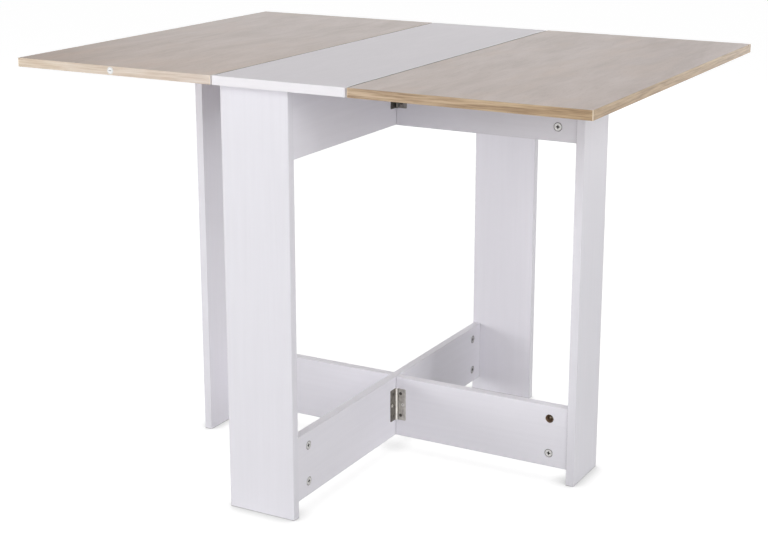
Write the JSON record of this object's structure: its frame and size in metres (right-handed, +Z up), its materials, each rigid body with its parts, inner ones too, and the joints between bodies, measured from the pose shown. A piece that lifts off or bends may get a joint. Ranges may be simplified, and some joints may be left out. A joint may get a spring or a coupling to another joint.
{
  "type": "butterfly folding table",
  "caption": "Gate-leg folding table: a fixed centre strip on a narrow frame, two swinging gates and two hinged wood-look leaves.",
  "frame": {"origin": "on the floor below the middle of the tabletop", "axes": "+X along the table's length, across the seams of the top, to the right when facing the front leg; +Y to the back; +Z up"},
  "size_m": [1.03, 0.7602, 0.734],
  "materials": {
    "oak_laminate": "greyish oak print, matt laminate, faint pores along the grain",
    "oak_edging": "warm oak print edging with lengthwise streaks",
    "white_laminate": "white laminate, satin",
    "white_edging": "white plastic edging, satin",
    "white_board": "white-laminated board, satin with a very faint grain",
    "hinge_steel": "nickel-plated steel",
    "screw_steel": "zinc-plated steel",
    "cam_zinc": "bright die-cast zinc",
    "bolt_steel": "zinc-plated steel",
    "dowel_beech": "plain beech",
    "label_film": "white label film with a plain numeral"
  },
  "bodies": {
    "frame": {"centre_top": "white_laminate", "centre_top_edging": "white_edging", "frame_cam_bolts": "bolt_steel", "frame_cams": "cam_zinc", "frame_dowels": "dowel_beech", "front_leg": "white_board", "gate_hinge_rail_screws": "screw_steel", "leaf_hinge_strip_screws": "screw_steel", "left_gate_bottom_hinge_pin": "hinge_steel", "left_gate_bottom_hinge_rail_plate": "hinge_steel", "left_gate_top_hinge_pin": "hinge_steel", "left_gate_top_hinge_rail_plate": "hinge_steel", "left_leaf_front_hinge_pin": "hinge_steel", "left_leaf_front_hinge_strip_plate": "hinge_steel", "left_leaf_rear_hinge_pin": "hinge_steel", "left_leaf_rear_hinge_strip_plate": "hinge_steel", "leg_top_dowels": "dowel_beech", "main_bottom_rail": "white_board", "main_top_rail": "white_board", "rear_leg": "white_board", "right_gate_bottom_hinge_pin": "hinge_steel", "right_gate_bottom_hinge_rail_plate": "hinge_steel", "right_gate_top_hinge_pin": "hinge_steel", "right_gate_top_hinge_rail_plate": "hinge_steel", "right_leaf_front_hinge_pin": "hinge_steel", "right_leaf_front_hinge_strip_plate": "hinge_steel", "right_leaf_rear_hinge_pin": "hinge_steel", "right_leaf_rear_hinge_strip_plate": "hinge_steel", "top_fixing_bolts": "bolt_steel", "top_fixing_cams": "cam_zinc"},
    "right_gate": {"right_gate_bottom_hinge_gate_plate": "hinge_steel", "right_gate_bottom_rail": "white_board", "right_gate_cam_bolts": "bolt_steel", "right_gate_cams": "cam_zinc", "right_gate_dowels": "dowel_beech", "right_gate_hinge_screws": "screw_steel", "right_gate_leg": "white_board", "right_gate_top_hinge_gate_plate": "hinge_steel", "right_gate_top_rail": "white_board"},
    "left_gate": {"left_gate_bottom_hinge_gate_plate": "hinge_steel", "left_gate_bottom_rail": "white_board", "left_gate_cam_bolts": "bolt_steel", "left_gate_cams": "cam_zinc", "left_gate_dowels": "dowel_beech", "left_gate_hinge_screws": "screw_steel", "left_gate_leg": "white_board", "left_gate_top_hinge_gate_plate": "hinge_steel", "left_gate_top_rail": "white_board"},
    "right_leaf": {"right_leaf": "oak_laminate", "right_leaf_edging": "oak_edging", "right_leaf_front_hinge_leaf_plate": "hinge_steel", "right_leaf_hinge_screws": "screw_steel", "right_leaf_rear_hinge_leaf_plate": "hinge_steel"},
    "left_leaf": {"left_leaf": "oak_laminate", "left_leaf_edging": "oak_edging", "left_leaf_front_hinge_leaf_plate": "hinge_steel", "left_leaf_hinge_screws": "screw_steel", "left_leaf_rear_hinge_leaf_plate": "hinge_steel", "part_label": "label_film"}
  },
  "joints": [
    {"name": "right_gate_swing", "type": "hinge", "parent": "frame", "child": "right_gate", "pos_m": [0.01025, -0.01275, 0], "axis": [0, 0, -1], "range_deg": [0, 90]},
    {"name": "left_gate_swing", "type": "hinge", "parent": "frame", "child": "left_gate", "pos_m": [-0.01025, 0.01275, 0], "axis": [0, 0, -1], "range_deg": [0, 90]},
    {"name": "right_leaf_lift", "type": "hinge", "parent": "frame", "child": "right_leaf", "pos_m": [0.1218, 0, 0.7208], "axis": [0, -1, 0], "range_deg": [0, 14]},
    {"name": "left_leaf_lift", "type": "hinge", "parent": "frame", "child": "left_leaf", "pos_m": [-0.1218, 0, 0.7208], "axis": [0, 1, 0], "range_deg": [0, 14]}
  ]
}
